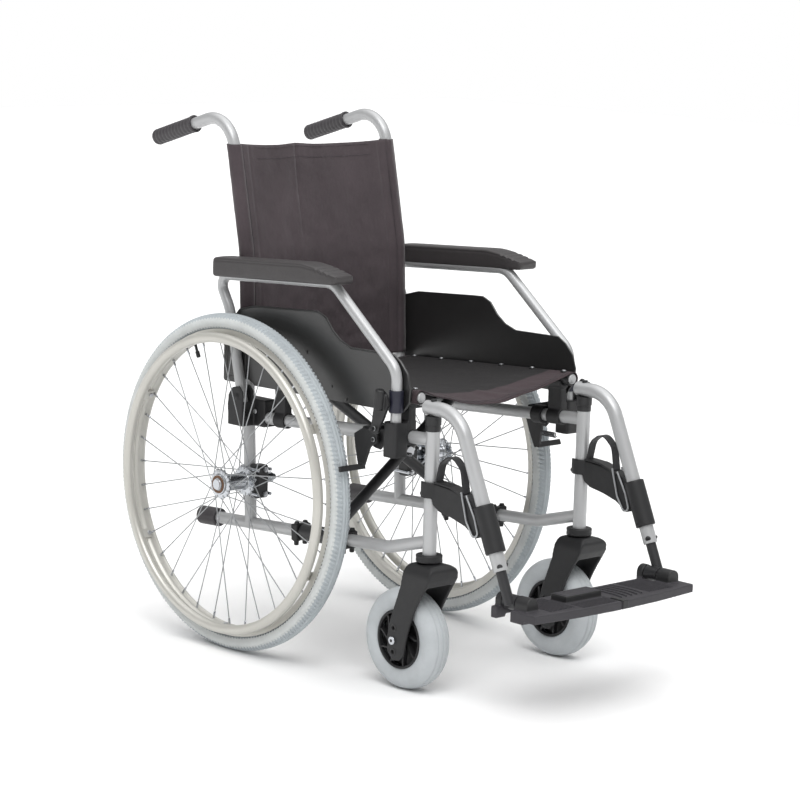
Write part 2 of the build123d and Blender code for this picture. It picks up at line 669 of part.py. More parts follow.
def back_upholstery():
    """Sling back: one sheet whose two sleeves slip over the back posts."""
    run = Vector(0, POST_LEAN[0] - POST_FOOT[0], POST_LEAN[1] - POST_FOOT[1]).normalized()
    start = Vector(0, *POST_FOOT) + run * ((505.0 - POST_FOOT[1]) / run.Z)
    upper_run = Vector(0, POST_CORNER[0] - POST_LEAN[0], POST_CORNER[1] - POST_LEAN[1]).normalized()
    end = Vector(0, *POST_LEAN) + upper_run * 200
    path = FilletPolyline(start, (0, *POST_LEAN), end, radius=150)
    sheet = Rectangle(2 * FRAME_X - 24, 3)
    for side in (-1, 1):
        sheet += Pos(side * FRAME_X, 0) * Circle(TUBE_R + 2.3)
        sheet -= Pos(side * FRAME_X, 0) * Circle(TUBE_R + 0.5)
    section = Plane(origin=path @ 0, x_dir=(1, 0, 0), z_dir=path % 0) * sheet
    return sweep(section, path=path)


# ---- write every piece --------------------------------------------------------------------
os.makedirs("parts", exist_ok=True)

save_pair("side_frame", side_frame())
save_pair("back_post", back_post())
save_pair("push_grip", push_grip())
save_pair("frame_clamps", frame_clamps())
save_pair("tip_lever", tip_lever())
save_pair("axle_adapter", axle_adapter())
save_pair("wheel_axle", wheel_axle())

save_pair("rear_tyre", rear_tyre())
save_pair("rear_rim", rear_rim())
save_pair("rear_spokes", spoke_group())
save_pair("rear_hub", rear_hub())
save_pair("handrim", handrim())

save_pair("caster_fork", caster_fork())
save_pair("caster_tyre", caster_tyre())
save_pair("caster_hub", caster_hub())

save("cross_frame_a", cross_frame(1, CROSS_GAP) - cross_bolt())
bolt_way = BRACE_PLANE * Cylinder(CROSS_BOLT_R + FIT, 80)
save("cross_frame_b", cross_frame(-1, -CROSS_GAP) - bolt_way)
save("cross_bolt", cross_bolt())

save_pair("armrest_tube", armrest_tube())
save_pair("armrest_pad", armrest_pad())
save_pair("side_panel", side_panel())

save_pair("legrest_bush", legrest_bush())
save_pair("legrest_tube", legrest_tube())
save_pair("legrest_bracket", legrest_bracket())
save_pair("legrest_strap", legrest_strap())
save_pair("leg_extension", leg_extension())
save_pair("footplate", footplate(False), footplate(True))

# The right brake is drawn on, the left brake off.
save_pair("brake_mount", brake_mount())
released_lever = turned(brake_lever(), BRAKE_SWING, BRAKE_PIVOT_Y, BRAKE_PIVOT_Z)
save_pair("brake_lever", released_lever, brake_lever())
released_shoe = turned(brake_shoe(), SHOE_RATIO * BRAKE_SWING, SHOE_PIVOT_Y, SHOE_PIVOT_Z)
save_pair("brake_shoe", released_shoe, brake_shoe())

save("seat_upholstery", seat_upholstery())
save("back_upholstery", back_upholstery())
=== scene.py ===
"""Folding wheelchair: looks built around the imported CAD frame.

Shapes are drawn in millimetres on the chair's left side (x > 0), with y counted from the rear
axle and z from the floor, and Shape.build() turns them into metres in the frame, mirrored for
the right side.
"""
import json
import math

import bmesh
import bpy
import numpy as np
from mathutils import Matrix, Vector, noise

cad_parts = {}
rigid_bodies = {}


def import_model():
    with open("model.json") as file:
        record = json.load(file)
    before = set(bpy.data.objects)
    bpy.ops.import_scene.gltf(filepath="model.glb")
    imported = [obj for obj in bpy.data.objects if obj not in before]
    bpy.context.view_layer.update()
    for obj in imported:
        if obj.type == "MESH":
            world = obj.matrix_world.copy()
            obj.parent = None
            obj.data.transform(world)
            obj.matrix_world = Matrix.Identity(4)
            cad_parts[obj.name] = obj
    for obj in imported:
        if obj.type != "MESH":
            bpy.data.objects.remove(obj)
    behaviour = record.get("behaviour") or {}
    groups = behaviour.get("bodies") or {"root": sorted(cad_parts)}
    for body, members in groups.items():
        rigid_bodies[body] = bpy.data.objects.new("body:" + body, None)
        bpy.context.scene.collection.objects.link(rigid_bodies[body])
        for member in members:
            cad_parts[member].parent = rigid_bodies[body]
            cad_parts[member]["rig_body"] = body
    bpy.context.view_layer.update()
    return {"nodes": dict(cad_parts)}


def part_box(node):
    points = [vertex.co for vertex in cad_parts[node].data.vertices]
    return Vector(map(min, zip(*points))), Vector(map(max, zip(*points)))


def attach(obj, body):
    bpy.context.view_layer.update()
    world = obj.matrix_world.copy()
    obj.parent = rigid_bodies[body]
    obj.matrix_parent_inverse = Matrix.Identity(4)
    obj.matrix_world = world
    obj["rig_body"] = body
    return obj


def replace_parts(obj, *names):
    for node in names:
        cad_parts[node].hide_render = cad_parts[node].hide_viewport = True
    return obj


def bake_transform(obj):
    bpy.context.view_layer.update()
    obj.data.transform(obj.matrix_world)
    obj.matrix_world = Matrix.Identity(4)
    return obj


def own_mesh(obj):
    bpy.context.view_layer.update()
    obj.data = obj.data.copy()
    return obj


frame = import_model()
nodes = frame["nodes"]

SIDES = (("left", 1), ("right", -1))


def centre_of(node):
    low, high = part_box(node)
    return (Vector(low) + Vector(high)) / 2


TYRE_CENTRE = centre_of("left_rear_tyre")
CASTER_CENTRE = centre_of("left_caster_tyre")
AXLE_Y = TYRE_CENTRE.y

# Millimetres, read off the frame where a node's box gives them.
WHEEL_X = TYRE_CENTRE.x * 1000
WHEEL_Z = TYRE_CENTRE.z * 1000
WHEEL_R = (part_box("left_rear_tyre")[1][1] - AXLE_Y) * 1000
CASTER_X = CASTER_CENTRE.x * 1000
CASTER_Y = (CASTER_CENTRE.y - AXLE_Y) * 1000
CASTER_R = CASTER_CENTRE.z * 1000
FRAME_X = centre_of("left_back_post").x * 1000
HANDRIM_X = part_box("left_handrim")[1][0] * 1000 - 9.0
ARM_X = centre_of("left_armrest_tube").x * 1000
RAKE = math.radians(3.0)
SEAT_TUBE_Z = 487.4
LOWER_TUBE_Z = 221.0


def height(y, z_at_axle):
    """Height at y of a line that rises to the front by the frame's rake."""
    return z_at_axle - math.tan(RAKE) * y


# ---- materials ----------------------------------------------------------------------------
class Nodes:
    """Short way to build a node tree around one Principled shader."""

    def __init__(self, name):
        self.material = bpy.data.materials.new(name)
        self.material.use_nodes = True
        self.tree = self.material.node_tree
        self.shader = self.tree.nodes["Principled BSDF"]
        self.coordinates = self.add("ShaderNodeTexCoord").outputs["Object"]

    def add(self, kind, **values):
        node = self.tree.nodes.new(kind)
        for key, value in values.items():
            setattr(node, key, value)
        return node

    def link(self, source, target):
        self.tree.links.new(source, target)

    def noise(self, scale, detail=4.0, roughness=0.55, stretch=None):
        node = self.add("ShaderNodeTexNoise")
        node.inputs["Scale"].default_value = scale
        node.inputs["Detail"].default_value = detail
        node.inputs["Roughness"].default_value = roughness
        source = self.coordinates
        if stretch:
            mapping = self.add("ShaderNodeMapping")
            mapping.inputs["Scale"].default_value = stretch
            self.link(self.coordinates, mapping.inputs["Vector"])
            source = mapping.outputs["Vector"]
        self.link(source, node.inputs["Vector"])
        return node.outputs["Fac"]

    def wave(self, period, direction, rotation=(0, 0, 0)):
        """Sine bands a period apart, in metres."""
        node = self.add("ShaderNodeTexWave", wave_type="BANDS", bands_direction=direction)
        node.inputs["Scale"].default_value = math.pi / (10 * period)
        mapping = self.add("ShaderNodeMapping")
        mapping.inputs["Rotation"].default_value = rotation
        self.link(self.coordinates, mapping.inputs["Vector"])
        self.link(mapping.outputs["Vector"], node.inputs["Vector"])
        return node.outputs["Fac"]

    def math(self, operation, first, second):
        node = self.add("ShaderNodeMath", operation=operation)
        for socket, value in zip(node.inputs, (first, second)):
            if isinstance(value, (int, float)):
                socket.default_value = value
            else:
                self.link(value, socket)
        return node.outputs[0]

    def colours(self, factor, stops):
        ramp = self.add("ShaderNodeValToRGB")
        elements = ramp.color_ramp.elements
        while len(elements) < len(stops):
            elements.new(0.5)
        for element, (place, colour) in zip(elements, stops):
            element.position = place
            element.color = (*colour, 1.0)
        self.link(factor, ramp.inputs["Fac"])
        self.link(ramp.outputs["Color"], self.shader.inputs["Base Color"])

    def roughness(self, factor, low, high):
        node = self.add("ShaderNodeMapRange")
        node.inputs["To Min"].default_value = low
        node.inputs["To Max"].default_value = high
        self.link(factor, node.inputs["Value"])
        self.link(node.outputs["Result"], self.shader.inputs["Roughness"])

    def bump(self, heights):
        """Stack of (height, distance in metres), coarse first."""
        previous = None
        for factor, distance in heights:
            node = self.add("ShaderNodeBump")
            node.inputs["Strength"].default_value = 1.0
            node.inputs["Distance"].default_value = distance
            self.link(factor, node.inputs["Height"])
            if previous:
                self.link(previous, node.inputs["Normal"])
            previous = node.outputs["Normal"]
        self.link(previous, self.shader.inputs["Normal"])


def shade(colour, factor):
    return tuple(channel * factor for channel in colour)


def coated_metal(name, colour, metallic, rough, speckle=0.00002, tint=0.93):
    """Powder coat or plated metal: fine grain, slight cloudiness, a little uneven gloss."""
    made = Nodes(name)
    made.shader.inputs["Metallic"].default_value = metallic
    cloud = made.noise(14.0, 5.0)
    made.colours(cloud, [(0.3, shade(colour, tint)), (0.7, colour)])
    made.roughness(made.noise(60.0, 6.0, 0.6), rough * 0.8, rough * 1.25)
    made.bump([(made.noise(2600.0, 2.0), speckle)])
    return made.material


def moulded(name, colour, rough, grain=1400.0, depth=0.00006, worn=1.25, specular=0.5):
    """Moulded plastic or rubber with a fine texture and slightly paler scuffs."""
    made = Nodes(name)
    made.shader.inputs["Specular IOR Level"].default_value = specular
    scuff = made.noise(22.0, 8.0, 0.7)
    made.colours(scuff, [(0.35, shade(colour, 0.9)), (0.6, colour), (0.78, shade(colour, worn))])
    made.roughness(made.noise(90.0, 5.0, 0.6), rough * 0.85, min(1.0, rough * 1.2))
    made.bump([(made.noise(35.0, 3.0), depth * 2), (made.noise(grain, 3.0), depth)])
    return made.material


def woven(name, colour, plane_axes, period=0.0011, rough=0.75, depth=0.00012, sheen=0.25):
    """Plain-weave nylon: two crossed thread directions, with slubs and soft sheen."""
    made = Nodes(name)
    made.shader.inputs["Sheen Weight"].default_value = sheen
    made.shader.inputs["Sheen Roughness"].default_value = 0.4
    made.shader.inputs["Specular IOR Level"].default_value = 0.35
    threads = made.math("MULTIPLY", made.wave(period, plane_axes[0]), made.wave(period, plane_axes[1]))
    cloud = made.noise(9.0, 6.0, 0.62)
    slub = made.noise(260.0, 4.0, 0.6)
    mixed = made.math("ADD", made.math("MULTIPLY", cloud, 0.7), made.math("MULTIPLY", slub, 0.3))
    made.colours(mixed, [(0.34, shade(colour, 0.78)), (0.5, colour), (0.66, shade(colour, 1.22))])
    made.roughness(slub, rough * 0.9, min(1.0, rough * 1.1))
    made.bump([(made.noise(18.0, 5.0, 0.6), 0.0012), (threads, depth)])
    return made.material


SILVER = coated_metal("powder_silver", (0.455, 0.46, 0.465), 0.35, 0.34)
RIM = coated_metal("rim_silver", (0.58, 0.57, 0.53), 0.30, 0.36, 0.000004)
HANDRIM = coated_metal("handrim_silver", (0.54, 0.53, 0.49), 0.35, 0.30, 0.000004)
CHROME = coated_metal("bright_chrome", (0.55, 0.57, 0.60), 1.0, 0.18, 0.000002)
SPOKE = coated_metal("galvanised_spoke", (0.36, 0.37, 0.38), 0.6, 0.35, 0.000002)
BRONZE = coated_metal("bearing_bronze", (0.13, 0.07, 0.04), 0.6, 0.40)
STEEL = coated_metal("zinc_bolt", (0.55, 0.56, 0.58), 0.9, 0.30)
BLACK_METAL = coated_metal("black_coat", (0.022, 0.022, 0.024), 0.0, 0.38, 0.00003, 0.8)
TYRE = moulded("tyre_grey", (0.56, 0.58, 0.575), 0.72, 1800.0, 0.00005, 1.06, 0.35)
TREAD = moulded("tread_grey", (0.42, 0.455, 0.475), 0.75, 1800.0, 0.00006, 1.05, 0.3)
CASTER_RUBBER = moulded("caster_grey", (0.45, 0.475, 0.49), 0.62, 1800.0, 0.00004, 1.05, 0.4)
FORK = moulded("fork_black", (0.012, 0.012, 0.013), 0.50, 1500.0, 0.00008, 1.5, 0.45)
BLACK = moulded("black_plastic", (0.013, 0.013, 0.014), 0.45, 1500.0, 0.00006, 1.5)
PANEL = moulded("panel_plastic", (0.015, 0.015, 0.015), 0.32, 900.0, 0.00008, 1.5, 0.8)
PLATE = moulded("footplate_plastic", (0.036, 0.034, 0.039), 0.55, 1200.0, 0.00010, 1.4, 0.4)
GRIP = moulded("grip_rubber", (0.038, 0.034, 0.038), 0.52, 1200.0, 0.00008, 1.4, 0.6)
PAD = moulded("pad_foam_skin", (0.044, 0.040, 0.041), 0.46, 420.0, 0.00025, 1.3, 0.45)
NAVY = moulded("navy_sleeve", (0.012, 0.013, 0.026), 0.45, 1500.0, 0.00004)
# The seat nylon comes as two copies of one cloth: the near-black one is painted shade over the rear of the
# seat, and the plum one is painted light on the front fold.
SEAT_CLOTH_PAINTED_SHADE = woven("seat_nylon_painted_shade", (0.0080, 0.0070, 0.0076), ("X", "Y"), sheen=0.08)
SEAT_FRONT_PAINTED_LIGHT = woven("seat_front_nylon_painted_light", (0.036, 0.022, 0.026), ("X", "Y"), sheen=0.15)
BACK_CLOTH = woven("back_nylon", (0.056, 0.043, 0.048), ("X", "Z"))
WEBBING = woven("strap_webbing", (0.026, 0.026, 0.028), ("X", "Z"), 0.0016, 0.8, 0.0002)
THREAD = woven("seam_thread", (0.055, 0.045, 0.050), ("X", "Z"), 0.0008, 0.7, 0.0001)


# ---- shape tools --------------------------------------------------------------------------
class Shape:
    """Vertices and faces in millimetres, collected and then built as one piece."""

    def __init__(self):
        self.vertices = []
        self.faces = []

    def add(self, vertices, faces):
        first = len(self.vertices)
        self.vertices.extend(tuple(vertex) for vertex in vertices)
        self.faces.extend(tuple(index + first for index in face) for face in faces)
        return self

    def grid(self, rows, close_rows=False, close_columns=False, caps=False):
        """Quads between rows of points; rows and columns may close on themselves."""
        row_count, column_count = len(rows), len(rows[0])
        faces = []
        for i in range(row_count if close_rows else row_count - 1):
            for j in range(column_count if close_columns else column_count - 1):
                a, b = i * column_count + j, i * column_count + (j + 1) % column_count
                shift = ((i + 1) % row_count) * column_count
                faces.append((a, b, shift + (j + 1) % column_count, shift + j))
        if caps:
            faces.append(tuple(range(column_count))[::-1])
            faces.append(tuple((row_count - 1) * column_count + j for j in range(column_count)))
        return self.add([point for row in rows for point in row], faces)

    def lathe(self, profile, y, z, steps=64, closed=False, wobble=None):
        """Ring about an X-parallel axis through (y, z), from (x, radius) points."""
        rows = []
        for i in range(steps):
            angle = 2 * math.pi * i / steps
            row = []
            for j, (x, radius) in enumerate(profile):
                if wobble:
                    radius += wobble(angle, x, j)
                row.append((x, y - radius * math.sin(angle), z + radius * math.cos(angle)))
            rows.append(row)
        return self.grid(rows, close_rows=True, close_columns=closed)

    def tube(self, path, radius, sides=16, caps=True):
        """Round tube along points; radius may be one number or one per point."""
        path = [Vector(point) for point in path]
        radii = radius if isinstance(radius, (list, tuple)) else [radius] * len(path)
        normal = None
        rows = []
        for i, point in enumerate(path):
            ahead = path[min(i + 1, len(path) - 1)]
            behind = path[max(i - 1, 0)]
            tangent = (ahead - behind).normalized()
            if normal is None:
                normal = tangent.orthogonal().normalized()
            normal = (normal - tangent * normal.dot(tangent)).normalized()
            side = tangent.cross(normal)
            row = []
            for j in range(sides):
                angle = 2 * math.pi * j / sides
                offset = normal * math.cos(angle) + side * math.sin(angle)
                row.append(point + offset * radii[i])
            rows.append(row)
        return self.grid(rows, close_columns=True, caps=caps)

    def knob(self, start, end, radius, sides=32, edge=1.0):
        """Cylinder with rounded edges."""
        start, end = Vector(start), Vector(end)
        run = (end - start).normalized()
        path, radii = [], []
        for step in range(5):
            angle = step / 4 * math.pi / 2
            path.append(start + run * edge * (1 - math.cos(angle)))
            radii.append(radius - edge * (1 - math.sin(angle)))
        for step in range(5):
            angle = step / 4 * math.pi / 2
            path.append(end - run * edge * (1 - math.sin(angle)))
            radii.append(radius - edge * (1 - math.cos(angle)))
        return self.tube(path, radii, sides)

    def socket_screw(self, centre, axis, radius, proud=3.0):
        """Round-headed screw with a hexagon socket."""
        centre, axis = Vector(centre), Vector(axis).normalized()
        self.knob(centre, centre + axis * proud, radius, 24, proud * 0.45)
        top = centre + axis * proud
        return self.tube([top - axis * 0.2, top + axis * 0.15], radius * 0.5, 6)

    def hex_nut(self, centre, axis, radius, thick):
        centre, axis = Vector(centre), Vector(axis).normalized()
        self.tube([centre, centre + axis * thick], radius, 6)
        return self.tube([centre, centre + axis * (thick + 2.5)], radius * 0.55, 16)

    def box(self, low, high):
        x0, y0, z0 = low
        x1, y1, z1 = high
        corners = [(x, y, z) for x in (x0, x1) for y in (y0, y1) for z in (z0, z1)]
        faces = [(0, 1, 3, 2), (4, 6, 7, 5), (0, 4, 5, 1), (2, 3, 7, 6), (0, 2, 6, 4), (1, 5, 7, 3)]
        return self.add(corners, faces)

    def band(self, path, widths, thick):
        """Flat strap along a path; widths is a half-width vector in mm."""
        path = [Vector(point) for point in path]
        half = Vector(widths)
        rows = []
        for i, point in enumerate(path):
            tangent = (path[min(i + 1, len(path) - 1)] - path[max(i - 1, 0)]).normalized()
            out = tangent.cross(half).normalized() * thick / 2
            rim = half * 0.96
            rows.append([point - half, point - rim + out, point + rim + out,
                         point + half, point + rim - out, point - rim - out])
        return self.grid(rows, close_columns=True, caps=True)

    def build(self, name, material, body, slot, side=1, sharp=35.0, bevel=0.0):
        """Make the piece in the frame: mirrored where side is -1, riding on its body."""
        mesh = bpy.data.meshes.new(name)
        scaled = [(side * x / 1000, y / 1000 + AXLE_Y, z / 1000) for x, y, z in self.vertices]
        mesh.from_pydata(scaled, [], self.faces)
        return finish_piece(mesh, name, material, body, sharp, bevel)


def finish_piece(mesh, name, material, body, sharp=35.0, bevel=0.0):
    work = bmesh.new()
    work.from_mesh(mesh)
    bmesh.ops.recalc_face_normals(work, faces=work.faces)
    work.to_mesh(mesh)
    work.free()
    piece = bpy.data.objects.new(name, mesh)
    bpy.context.scene.collection.objects.link(piece)
    mesh.materials.append(material)
    mesh.shade_smooth()
    if bevel:
        modifier = piece.modifiers.new("edges", "BEVEL")
        modifier.width = bevel / 1000
        modifier.segments = 3
        modifier.limit_method = "ANGLE"
        modifier.angle_limit = math.radians(30)
    if sharp:
        mesh.set_sharp_from_angle(angle=math.radians(sharp))
    if body:
        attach(piece, body)
    return piece


def rounded_path(points, radii, step=3.0):
    """Straight runs joined by arcs, as a list of points about a step apart."""
    points = [Vector(point) for point in points]
    path = [points[0]]
    for i in range(1, len(points) - 1):
        into = (points[i] - points[i - 1]).normalized()
        out = (points[i + 1] - points[i]).normalized()
        turn = into.angle(out)
        radius = radii[i - 1]
        tangent = radius * math.tan(turn / 2)
        inward = (out - into * into.dot(out)).normalized()
        centre = points[i] - into * tangent + inward * radius
        count = max(3, int(radius * turn / step))
        for j in range(count + 1):
            angle = turn * j / count
            path.append(centre + into * radius * math.sin(angle) - inward * radius * math.cos(angle))
    path.append(points[-1])
    return path


def side_path(x, points, radii, step=3.0):
    return rounded_path([(x, y, z) for y, z in points], radii, step)


def soften(node, voxel, passes):
    """New mesh from a CAD node: remeshed and smoothed, so its edges are moulded, not cut."""
    source = nodes[node]
    copy = bpy.data.objects.new(node, source.data.copy())
    bpy.context.scene.collection.objects.link(copy)
    modifier = copy.modifiers.new("voxels", "REMESH")
    modifier.mode = "VOXEL"
    modifier.voxel_size = voxel / 1000
    smoother = copy.modifiers.new("soften", "SMOOTH")
    smoother.factor = 0.5
    smoother.iterations = passes
    graph = bpy.context.evaluated_depsgraph_get()
    mesh = bpy.data.meshes.new_from_object(copy.evaluated_get(graph))
    bpy.data.objects.remove(copy)
    mesh.materials.clear()
    return mesh


def soft_copy(node, material, voxel, passes):
    """Replace a CAD node by its softened mesh."""
    mesh = soften(node, voxel, passes)
    piece = finish_piece(mesh, f"{node}_moulded", material, nodes[node]["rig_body"], 0)
    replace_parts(piece, node)
    return piece


def dress(node, material):
    """Give a CAD node that stays its material."""
    data = nodes[node].data
    for index in range(max(1, len(data.materials))):
        if index < len(data.materials):
            data.materials[index] = material
        else:
            data.materials.append(material)


# ---- rear wheels --------------------------------------------------------------------------
RIM_IN, RIM_OUT = 262.0, 277.0
LUGS = 232


def tyre_profile():
    """Half-round section, from bead to bead, as (x, radius)."""
    half, bead, steps = 18.0, RIM_OUT - 2.5, 34
    centre_r = WHEEL_R - half + 2.0
    points = [(WHEEL_X - 10.5, bead - 1), (WHEEL_X - 11.0, bead + 5)]
    for i in range(steps + 1):
        angle = math.radians(-118 + 236 * i / steps)
        x = half * math.sin(angle)
        r = centre_r + (half - 2.0) * math.cos(angle)
        points.append((WHEEL_X + x, max(r, bead + 6)))
    points += [(WHEEL_X + 11.0, bead + 5), (WHEEL_X + 10.5, bead - 1)]
    return points


def tread(angle, x, index):
    """Depth of the tread: centre ribs, and small slanted blocks at the shoulders."""
    across = x - WHEEL_X
    spread = abs(across)
    phase = (angle * LUGS / (2 * math.pi) + spread * 0.06) % 1.0
    if 7.2 < spread < 16.2:
        return -2.2 if phase < 0.45 else 0.0
    if 5.6 < spread <= 7.2:
        return -2.0
    if spread < 0.8 or 2.8 < spread < 4.2:
        return -1.4
    return 0.0


def rear_wheel(side, k):
    body = f"{side}_wheel"
    ring = Shape().lathe(tyre_profile(), 0, WHEEL_Z, LUGS * 5, wobble=tread)
    tyre = ring.build(f"{side}_tyre_treaded", TYRE, body, "tyre_grey", k, 24)
    tyre.data.materials.append(TREAD)
    for face in tyre.data.polygons:
        if abs(abs(face.center.x) * 1000 - WHEEL_X) < 14.5:
            face.material_index = 1
    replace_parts(tyre, f"{side}_rear_tyre")

    section = [
        (-13.0, RIM_OUT - 1.5), (-13.4, RIM_OUT + 0.6), (-12.2, RIM_OUT + 0.8), (-11.4, RIM_OUT - 2),
        (11.4, RIM_OUT - 2), (12.2, RIM_OUT + 0.8), (13.4, RIM_OUT + 0.6), (13.0, RIM_OUT - 1.5),
        (12.9, 268.5), (11.8, 265.0), (9.0, 262.8), (6.5, 262.1), (4.5, 263.2),
        (-4.5, 263.2), (-6.5, 262.1), (-9.0, 262.8), (-11.8, 265.0), (-12.9, 268.5),
    ]
    rim = Shape().lathe([(WHEEL_X + x, r) for x, r in section], 0, WHEEL_Z, 288, closed=True)
    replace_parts(rim.build(f"{side}_rim_channel", RIM, body, "rim_silver", k, 30), f"{side}_rear_rim")

    wires, nipples = Shape(), Shape()
    for index in range(36):
        turn = math.radians(10.0 * index)
        flange_x = 222.0 if index % 2 else 278.0
        lean = math.radians(46.0 if index % 4 < 2 else -46.0)
        lane = 1.6 if index % 4 < 2 else -1.6

        def spot(x, radius, angle):
            return (x, -radius * math.sin(angle), WHEEL_Z + radius * math.cos(angle))

        head = Vector(spot(flange_x + lane * 1.6, 23.0, turn - lean))
        elbow = Vector(spot(flange_x + lane, 24.6, turn - lean * 0.98))
        end = Vector(spot(WHEEL_X + lane, RIM_IN + 1.0, turn))
        run = (end - elbow).normalized()
        wires.tube([head, elbow, elbow + run * 4, end], 1.0, 8)
        wires.knob(head - Vector((lane, 0, 0)), head + Vector((lane * 0.4, 0, 0)), 2.0, 8, 0.5)
        nipples.tube([end - run * 13, end - run * 12, end - run * 3, end], [1.2, 1.9, 1.9, 2.3], 10)
    wires = wires.build(f"{side}_spoke_wires", SPOKE, body, "bright_steel", k, 40)
    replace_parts(wires, f"{side}_rear_spokes")
    nipples.build(f"{side}_spoke_nipples", CHROME, body, "bright_steel", k, 40)

    valve = Shape()
    valve_turn = math.radians(-24.7)
    out = Vector((0, -math.sin(valve_turn), math.cos(valve_turn)))
    base = Vector((WHEEL_X, 0, WHEEL_Z))
    valve.knob(base + out * 263, base + out * 245, 2.6, 16, 0.6)
    valve.knob(base + out * 248, base + out * 236, 3.9, 16, 1.2)
    valve.build(f"{side}_tyre_valve", BLACK, body, "tyre_grey", k)

    hub = [
        (216.0, 7.0), (216.0, 15.0), (219.0, 17.0), (219.6, 25.0), (220.4, 27.0), (223.4, 27.0),
        (224.2, 25.0), (225.5, 17.0), (228.0, 15.4), (232.0, 15.0), (268.0, 15.0), (272.0, 15.4),
        (274.5, 17.0), (275.8, 25.0), (276.6, 27.0), (279.6, 27.0), (280.4, 25.0), (281.0, 19.0),
        (284.0, 18.0), (284.5, 17.2), (284.5, 7.0),
    ]

    def serrate(angle, x, index):
        on_flange = hub[index][1] > 26.0
        return -1.6 if on_flange and math.cos(18 * angle) < -0.25 else 0.0

    shell = Shape().lathe(hub, 0, WHEEL_Z, 144, wobble=serrate)
    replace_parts(shell.build(f"{side}_hub_shell", CHROME, body, "bright_steel", k, 30), f"{side}_rear_hub")
    seal = [(284.3, 16.4), (285.3, 16.0), (285.3, 11.6), (284.3, 11.2)]
    ring = Shape().lathe(seal, 0, WHEEL_Z, 48, closed=True)
    ring.build(f"{side}_bearing_seal", BRONZE, body, "bright_steel", k)
    cap = Shape()
    cap.knob((284.0, 0, WHEEL_Z), (287.6, 0, WHEEL_Z), 10.6, 40, 1.6)
    cap.build(f"{side}_hub_cap", STEEL, body, "bright_steel", k)

    rail = Shape()
    circle = []
    for i in range(24):
        angle = 2 * math.pi * i / 24
        circle.append((HANDRIM_X + 9.0 * math.cos(angle), 263.0 + 9.0 * math.sin(angle)))
    rail.lathe(circle, 0, WHEEL_Z, 288, closed=True)
    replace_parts(rail.build(f"{side}_push_rim", HANDRIM, body, "rim_silver", k), f"{side}_handrim")
    tabs, screws = Shape(), Shape()
    for index in range(6):
        turn = math.radians(60.0 * index)
        away = Vector((0, -math.sin(turn), math.cos(turn)))
        across = Vector((0, math.cos(turn), math.sin(turn)))
        base = Vector((0, 0, WHEEL_Z))
        bend = [(WHEEL_X + 3, 260.6), (WHEEL_X + 14, 260.6), (WHEEL_X + 21, 259.0), (HANDRIM_X - 5, 257.5)]
        path = [base + away * r + Vector((x, 0, 0)) for x, r in bend]
        tabs.band(path, across * 9.0, 2.6)
        screws.socket_screw(base + away * 259.4 + Vector((WHEEL_X + 8, 0, 0)), -away, 4.2, 2.6)
    tabs.build(f"{side}_push_rim_tabs", RIM, body, "rim_silver", k, 40)
    screws.build(f"{side}_push_rim_screws", STEEL, body, "bright_steel", k, 40)


# ---- casters ------------------------------------------------------------------------------
def caster(side, k):
    body = f"{side}_caster_wheel"
    half = 26.5
    profile = [(-19.0, 50.5), (-21.5, 52.0), (-24.5, 56.0)]
    for i in range(37):
        angle = math.radians(-78 + 156 * i / 36)
        x = half * math.sin(angle) / math.sin(math.radians(78)) * 0.995
        r = 64.5 + (CASTER_R - 64.5) * math.cos(angle) ** 0.8
        for groove in (-9.5, 0.0, 9.5):
            if abs(x - groove) < 1.3:
                r -= 2.2
        profile.append((x, r))
    profile += [(24.5, 56.0), (21.5, 52.0), (19.0, 50.5)]
    ring = Shape().lathe([(CASTER_X + x, r) for x, r in profile], CASTER_Y, CASTER_R, 160)
    tread_ring = ring.build(f"{side}_caster_tread", CASTER_RUBBER, body, "caster_grey", k, 50)
    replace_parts(tread_ring, f"{side}_caster_tyre")

    hub = Shape()
    for face in (-1, 1):
        rim = [(17.0, 46.0), (22.5, 47.0), (23.5, 49.5), (22.5, 51.6), (18.0, 51.8)]
        hub.lathe([(CASTER_X + face * x, r) for x, r in rim], CASTER_Y, CASTER_R, 96, closed=True)
        for blade in range(9):
            start = math.radians(40 * blade)
            path = []
            for step in range(9):
                share = step / 8
                radius = 15 + 31 * share
                angle = start + 0.75 * math.sin(share * math.pi / 2)
                x = CASTER_X + face * (20 - 2 * share)
                y = CASTER_Y - radius * math.sin(angle)
                path.append((x, y, CASTER_R + radius * math.cos(angle)))
            hub.band(path, (4.5, 0, 0), 3.2)
    boss = [
        (-28.3, 5.2), (-28.3, 11.0), (-27.0, 12.0), (-22.0, 16.5),
        (22.0, 16.5), (27.0, 12.0), (28.3, 11.0), (28.3, 5.2),
    ]
    disc = [(-9, 14), (-9, 49), (9, 49), (9, 14)]
    hub.lathe([(CASTER_X + x, r) for x, r in boss], CASTER_Y, CASTER_R, 64)
    hub.lathe([(CASTER_X + x, r) for x, r in disc], CASTER_Y, CASTER_R, 96)
    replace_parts(hub.build(f"{side}_caster_disc", FORK, body, "black_plastic", k, 35), f"{side}_caster_hub")

    swivel = f"{side}_caster_swivel"
    soft_copy(f"{side}_caster_fork", FORK, 1.6, 10)
    bolts, dark = Shape(), Shape()
    for face in (-1, 1):
        x = CASTER_X + face * 36.0
        bolts.knob((x, CASTER_Y, CASTER_R), (x + face * 3.4, CASTER_Y, CASTER_R), 7.4, 32, 1.2)
        dark.tube([(x + face * 3.2, CASTER_Y, CASTER_R), (x + face * 3.8, CASTER_Y, CASTER_R)], 3.0, 6)
        for z in (69.0, 111.0):
            insert = [(-1.0, 3.6), (0.7, 3.9), (0.7, 6.6), (-0.5, 7.0)]
            dark.lathe([(x + face * out, r) for out, r in insert], CASTER_Y - 1.5, z, 32, closed=True)
    bolts.build(f"{side}_caster_bolts", CHROME, swivel, "bright_steel", k)
    dark.build(f"{side}_fork_inserts", BLACK, swivel, "black_plastic", k)


